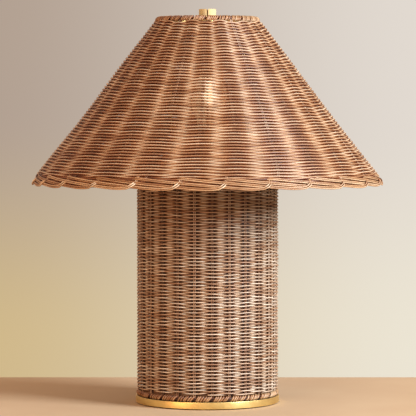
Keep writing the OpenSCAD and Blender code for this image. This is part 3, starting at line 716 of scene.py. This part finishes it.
def cane_finish(name, stops, darkening, painted_shade_to):
    """Peeled cane with a satin skin. Its colour is a ramp of the length's tone, shifted by stains, then
    streaked along the grain, worn in patches, and given painted shade the deeper the skin lies in the
    weave and on the cane's underside. Cane past a tone of 1.1 glows a little: painted light, for a
    bulb shining through it."""
    f = Finish(name, Coat_Weight=0.12, Coat_Roughness=0.35, Specular_IOR_Level=0.45)
    tone = f.add("Attribute", "Fac", {"attribute_name": "tone"})
    painted_shade_share = f.add("Attribute", "Fac", {"attribute_name": "painted_shade_share"})
    grain = f.noise(f.place((55, 5, 1), "UV"), 1.0, 4, 0.6)
    fibre = f.noise(f.place((180, 22, 1), "UV"), 1.0, 2, 0.5)
    stain = f.noise(f.place((14, 1.5, 1), "UV"), 1.0, 3, 0.6)
    patch = f.noise(f.place((1, 1, 1)), 38, 4, 0.62)
    shade = f.plus(tone, f.levels(stain, -0.3, 0.3, 0.25, 0.75))
    body = f.ramp(f.levels(shade, 0, 1, 0, MOST_TONE), [(at / MOST_TONE, tint) for at, tint in stops])
    streaks = f.ramp(grain, [(0.3, colour(196, 176, 160)), (0.7, WHITE)])
    patches = f.ramp(patch, [(0.36, colour(150, 122, 100)), (0.62, WHITE)])
    # painted shade: darker where the skin lies deep in the weave and under the cane
    painted_shade_ramp = f.ramp(painted_shade_share, [(0.0, WHITE), (0.35, colour(190, 154, 126)), (0.7, painted_shade_to[0]),
                           (1.0, painted_shade_to[1])])
    streaked = f.mix("MULTIPLY", 0.55, body, streaks)
    worn = f.mix("MULTIPLY", darkening, streaked, patches)
    shaded = f.mix("MULTIPLY", 1.0, worn, painted_shade_ramp)
    # the glow past a tone of 1.1 is painted light
    f.set(f.shader, {"Base Color": shaded, "Roughness": f.levels(fibre, 0.36, 0.58),
                     "Emission Color": colour(255, 226, 178),
                     "Emission Strength": f.levels(tone, 0.0, 0.4, 1.1, 2.0)})
    f.bump(f.mix("MIX", 0.5, grain, fibre), 0.25, 0.5)
    return f.material


def brass_finish(name, tint, roughness, metallic=1.0):
    """Turned metal: fine tool lines round the axis, faint handling marks."""
    f = Finish(name, Metallic=metallic)
    tool = f.noise(f.place((6, 6, 900)), 1.0, 2, 0.5)
    marks = f.noise(f.place((1, 1, 1)), 60, 4, 0.6)
    handled = f.ramp(marks, [(0.3, colour(214, 190, 150)), (0.7, WHITE)])
    f.set(f.shader, {"Base Color": f.mix("MULTIPLY", 0.25, tint, handled),
                     "Roughness": f.levels(marks, roughness * 0.8, roughness * 1.35)})
    f.bump(tool, 0.004, 0.1)
    return f.material


def plain_finish(name, tint, dark, roughness, scale, depth, metallic=0.0, **shader):
    """Surface whose colour, gloss and relief vary with one soft pattern of the given fineness."""
    f = Finish(name, Metallic=metallic, **shader)
    pattern = f.noise(f.place((1, 1, 1)), scale, 5, 0.6)
    f.set(f.shader, {"Base Color": f.ramp(pattern, [(0.3, dark), (0.7, tint)]),
                     "Roughness": f.levels(pattern, roughness * 0.85, roughness * 1.2)})
    f.bump(pattern, depth, 0.6)
    return f.material


def glass_finish():
    """Lit frosted glass: warm glow with faint unevenness."""
    f = Finish("bulb_glass_frosted", Roughness=0.35, Emission_Strength=BULB_GLOW)
    pattern = f.noise(f.place((1, 1, 1)), 90, 3)
    frost = f.ramp(pattern, [(0.3, colour(250, 240, 222)), (0.7, colour(255, 250, 240))])
    glow = f.ramp(pattern, [(0.3, colour(255, 206, 150)), (0.7, colour(255, 214, 162))])
    f.set(f.shader, {"Base Color": frost, "Emission Color": glow})
    return f.material


# Cane colours: a ramp of the tone, and the colours of the painted shade in the weave's hollows and under
# the canes
WHITE = colour(255, 255, 255)
MOST_TONE = 1.5
COLUMN_TONES = [(0.0, colour(166, 132, 102)), (0.3, colour(192, 168, 140)), (0.55, colour(204, 188, 166)),
                (0.8, colour(198, 190, 174)), (1.0, colour(228, 218, 200))]
COLUMN_PAINTED_SHADE = (colour(108, 64, 40), colour(34, 14, 5))
# The last stop, near white, is painted light for the bright spot in front of the bulb.
SHADE_TONES = [(0.0, colour(160, 122, 84)), (0.25, colour(190, 158, 120)), (0.5, colour(206, 182, 148)),
               (0.75, colour(206, 190, 162)), (1.0, colour(226, 210, 182)), (1.5, colour(255, 250, 238))]
SHADE_PAINTED_SHADE = (colour(160, 100, 56), colour(104, 56, 24))
# The rods run darker than the walls' cane: painted shade, for rods set back between the canes.
ROD_TONES = [(0.0, colour(120, 92, 72)), (0.45, colour(160, 128, 102)), (0.75, colour(206, 182, 158)),
             (1.0, colour(236, 220, 200))]
CANE = cane_finish("cane_weave_skin", COLUMN_TONES, 0.25, COLUMN_PAINTED_SHADE)
SHADE_CANE = cane_finish("cane_shade_skin", SHADE_TONES, 0.3, SHADE_PAINTED_SHADE)
ROD = cane_finish("cane_rod_skin", ROD_TONES, 0.25, COLUMN_PAINTED_SHADE)

# Metals
BRASS = brass_finish("brass_polished", colour(230, 206, 138), 0.35)
FINIAL_BRASS = brass_finish("brass_finial", colour(212, 190, 142), 0.8, metallic=0.25)
# dark brass for the slot's floor: painted shadow
SLOT_SHADOW_BRASS = plain_finish("brass_slot_shadow", colour(110, 78, 40), colour(70, 46, 24), 0.5, 300, 0.02,
                          metallic=0.7)
RAW_BRASS = brass_finish("brass_raw", colour(206, 164, 96), 0.34)
STEEL = brass_finish("zinc_plated_steel", colour(196, 196, 192), 0.32)
BLACK_STEEL = plain_finish("blackened_steel", colour(52, 48, 46), colour(28, 26, 26), 0.45, 300, 0.05,
                           metallic=0.8)
IRON = plain_finish("cast_iron_black", colour(50, 48, 47), colour(24, 23, 23), 0.62, 260, 0.4, metallic=0.3)
SOLDER = plain_finish("contact_solder", colour(188, 188, 186), colour(140, 140, 138), 0.35, 420, 0.1,
                      metallic=1.0)
SHELL = brass_finish("bulb_shell_aluminium", colour(214, 212, 206), 0.3)

# The rest
FELT = plain_finish("wool_felt", colour(60, 50, 42), colour(30, 24, 20), 0.95, 900, 0.5, Sheen_Weight=0.4)
PAINT = plain_finish("frame_paint_brown", colour(112, 76, 50), colour(86, 56, 36), 0.45, 120, 0.06)
RUBBER = plain_finish("grommet_rubber", colour(44, 38, 34), colour(26, 22, 20), 0.7, 500, 0.06)
PAPER = plain_finish("liner_paper", colour(168, 140, 100), colour(132, 104, 70), 0.85, 240, 0.12)
PHENOLIC = plain_finish("black_phenolic", colour(40, 34, 32), colour(20, 17, 16), 0.28, 180, 0.03,
                        Coat_Weight=0.3)
CERAMIC = plain_finish("bulb_insulator_glass", colour(36, 30, 40), colour(16, 14, 20), 0.2, 200, 0.03)
FIBRE = plain_finish("washer_fibre", colour(120, 54, 38), colour(88, 36, 26), 0.8, 420, 0.1)
GLASS = glass_finish()
FLOOR = plain_finish("floor_pale", colour(184, 158, 126), colour(178, 150, 118), 0.85, 6, 0.01)


def finish_piece(made, body, slot, material, *nodes):
    """Gives a new piece its material and its body, and hides the frame's parts that it stands for. The slot
    is not used.
    """
    made.data.materials.append(material)
    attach(made, body)
    if nodes:
        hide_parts(*nodes)


def frame_finishes():
    """The frame's own parts that stay as they are, each with its finish."""
    groups = {
        BRASS: "harp_wire harp_saddle harp_stud harp_sleeve_left harp_sleeve_right socket_cap socket_shell "
               "shade_hub spider_arms shade_top_ring",
        RAW_BRASS: "lower_nut upper_nut socket_screw_shell center_contact terminal_screws",
        STEEL: "base_ring_screws lower_washer upper_washer lamp_pipe finial_insert",
        PAINT: "column_lower_hoop column_upper_hoop column_posts top_plate shade_bottom_ring shade_ribs",
        IRON: "base_weight", FELT: "felt_pad", RUBBER: "cord_grommet",
        BLACK_STEEL: "socket_set_screw switch_stem", PAPER: "socket_liner",
        PHENOLIC: "socket_body switch_knob", SOLDER: "bulb_tip_contact", CERAMIC: "bulb_insulator",
        SHELL: "bulb_base", GLASS: "bulb_glass", FIBRE: "shade_washer",
    }
    given = set()
    for material, names in groups.items():
        for name in names.split():
            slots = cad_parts[name].material_slots
            if not slots:
                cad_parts[name].data.materials.append(material)
            for place in slots:
                place.material = material
            given.add(name)
    left = [n for n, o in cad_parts.items() if n not in given and not o.hide_render]
    if left:
        raise ValueError(f"parts without a finish: {left}")


# ---------------------------------------------------------------- camera, light, floor

def camera():
    """Long lens in front of the lamp, a little above its middle, looking slightly down."""
    data = bpy.data.cameras.new("camera")
    data.lens, data.sensor_width = LENS, SENSOR
    data.clip_start, data.clip_end = 0.1, 50
    made = bpy.data.objects.new("camera", data)
    made.location = CAMERA_PLACE
    made.rotation_euler = (CAMERA_TILT, 0, 0)
    bpy.context.scene.collection.objects.link(made)
    bpy.context.scene.camera = made


def area_light(name, place, aim, size, power, tint):
    """Square soft light at a place, aimed at a point. Metres and watts."""
    data = bpy.data.lights.new(name, "AREA")
    data.size, data.energy, data.color = size, power, tint[:3]
    made = bpy.data.objects.new(name, data)
    made.location = place
    back = np.array(place, float) - np.array(aim, float)
    yaw = math.atan2(back[0], -back[1])
    pitch = math.atan2(math.hypot(back[0], back[1]), back[2])
    made.rotation_euler = (pitch, 0, yaw)
    bpy.context.scene.collection.objects.link(made)


def lights():
    """Cool key light from the front right, warm light thrown up from the left, a soft fill from the
    front left, and the bulb's own light inside the shade."""
    area_light("key", (2.5, -1.65, 1.55), (0, 0, 0.32), 1.3, 234, colour(240, 248, 255))
    area_light("bounce", (-1.5, -1.6, 0.1), (0, 0, 0.28), 0.8, 22, colour(255, 186, 134))
    area_light("fill", (-1.3, -3.0, 1.3), (0, 0, 0.35), 1.2, 30, colour(255, 232, 206))
    bulb = bpy.data.lights.new("bulb_light", "POINT")
    bulb.energy, bulb.color, bulb.shadow_soft_size = BULB_WATTS, colour(255, 196, 128)[:3], 0.028
    made = bpy.data.objects.new("bulb_light", bulb)
    glass_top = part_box("bulb_glass")[1][2]
    made.location = (0, 0, glass_top - 0.03)
    bpy.context.scene.collection.objects.link(made)


def blend_by(tree, value, low, high, first, second):
    """Colour that goes smoothly from first to second as a value goes from low to high."""
    ranged = tree.nodes.new("ShaderNodeMapRange")
    ranged.interpolation_type = "SMOOTHSTEP"
    ranged.inputs["From Min"].default_value, ranged.inputs["From Max"].default_value = low, high
    tree.links.new(value, ranged.inputs["Value"])
    mixer = tree.nodes.new("ShaderNodeMix")
    mixer.data_type = "RGBA"
    tree.links.new(ranged.outputs[0], mixer.inputs[0])
    for socket, tint in ((mixer.inputs[6], first), (mixer.inputs[7], second)):
        if isinstance(tint, bpy.types.NodeSocket):
            tree.links.new(tint, socket)
        else:
            socket.default_value = tint
    return mixer.outputs[2]


def surroundings():
    """A plain wall straight behind the lamp, paler to the right and yellower low down, and a dimmer
    warm room everywhere else."""
    bpy.context.scene.view_settings.view_transform = "Standard"
    world = bpy.data.worlds.new("surroundings")
    bpy.context.scene.world = world
    world.use_nodes = True
    tree = world.node_tree
    split = tree.nodes.new("ShaderNodeSeparateXYZ")
    tree.links.new(tree.nodes.new("ShaderNodeTexCoord").outputs["Generated"], split.inputs[0])
    right, back, up = split.outputs
    upper = blend_by(tree, right, -0.10, 0.10, colour(178, 160, 145), colour(226, 218, 209))
    lower = blend_by(tree, right, -0.10, 0.10, colour(208, 184, 138), colour(236, 229, 212))
    wall = blend_by(tree, up, -0.10, 0.0, lower, upper)
    around = blend_by(tree, up, -0.5, 0.7, colour(190, 142, 110), colour(226, 196, 172))
    sky = tree.nodes["Background"]
    tree.links.new(blend_by(tree, back, 0.955, 0.985, around, wall), sky.inputs["Color"])
    sky.inputs["Strength"].default_value = 1.0


def floor_slab():
    """Plain slab that the lamp stands on: eight corners and six faces."""
    back_edge, depth, width, thick = 0.337, 2.4, 4.0, 0.03
    x = np.array([-1, 1, 1, -1]) * width / 2
    y = np.array([back_edge - depth] * 2 + [back_edge] * 2)
    points = np.concatenate([np.stack([x, y, np.full(4, z)], -1) for z in (-thick, 0.0)]) / MM
    faces = np.array([(0, 3, 2, 1), (4, 5, 6, 7), (0, 1, 5, 4), (1, 2, 6, 5), (2, 3, 7, 6), (3, 0, 4, 7)])
    made = piece("floor", points, faces)
    made.data.materials.append(FLOOR)
    made.data.polygons.foreach_set("use_smooth", np.zeros(len(faces), bool))


camera()
shade_wall = ShadeWall()
column_weaving()
shade_weaving(shade_wall)
column_stakes()
shade_stakes(shade_wall)
rim_braid(shade_wall)
rim_backing(shade_wall)
column_edges()
crown(shade_wall)
base_ring()
finial()
frame_finishes()
lights()
surroundings()
floor_slab()
